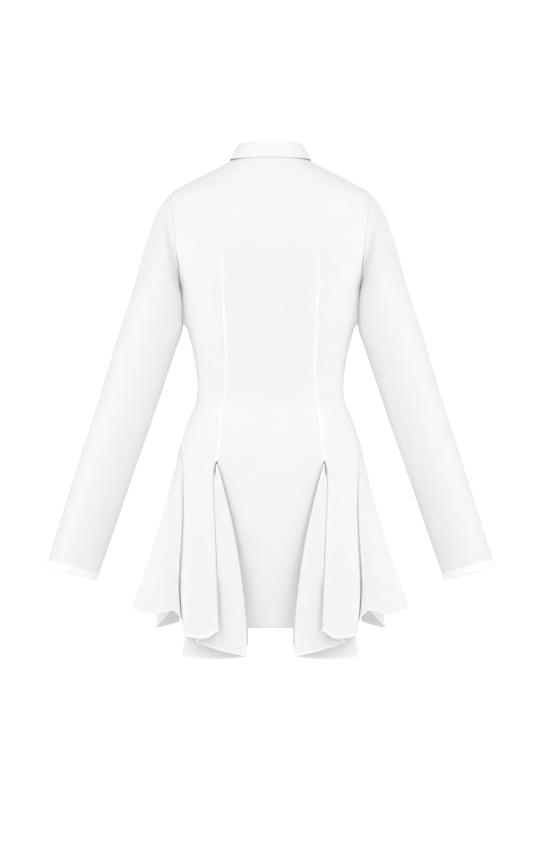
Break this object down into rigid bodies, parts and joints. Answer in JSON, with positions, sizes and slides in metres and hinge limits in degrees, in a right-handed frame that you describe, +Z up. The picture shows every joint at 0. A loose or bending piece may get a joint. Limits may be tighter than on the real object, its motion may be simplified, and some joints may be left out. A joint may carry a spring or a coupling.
{
  "type": "shirt dress",
  "caption": "Fitted white shirt dress with a turned-down collar, long plain sleeves, a buttoned front and godets flaring from the hips, filled out as worn.",
  "frame": {"origin": "middle of the neck opening at the height of the shoulder neck points, where the wearer holds the dress up", "axes": "+Z up, the dress's front faces -Y, the wearer's left is +X"},
  "size_m": [0.7522, 0.2746, 0.8492],
  "materials": {
    "cloth": "matt white cotton cloth",
    "buttons": "semi-gloss white"
  },
  "bodies": {
    "root": {"back": "cloth", "front_right": "cloth", "front_left": "cloth", "placket": "cloth", "collar_stand": "cloth", "collar_fall": "cloth", "sleeve_left": "cloth", "sleeve_right": "cloth", "godet_back_left": "cloth", "godet_back_right": "cloth", "godet_front_left": "cloth", "godet_front_right": "cloth", "godet_side_left": "cloth", "godet_side_right": "cloth", "button_1": "buttons", "button_2": "buttons", "button_3": "buttons", "button_4": "buttons", "button_5": "buttons", "button_6": "buttons", "button_7": "buttons", "button_8": "buttons", "button_collar": "buttons"}
  },
  "joints": []
}
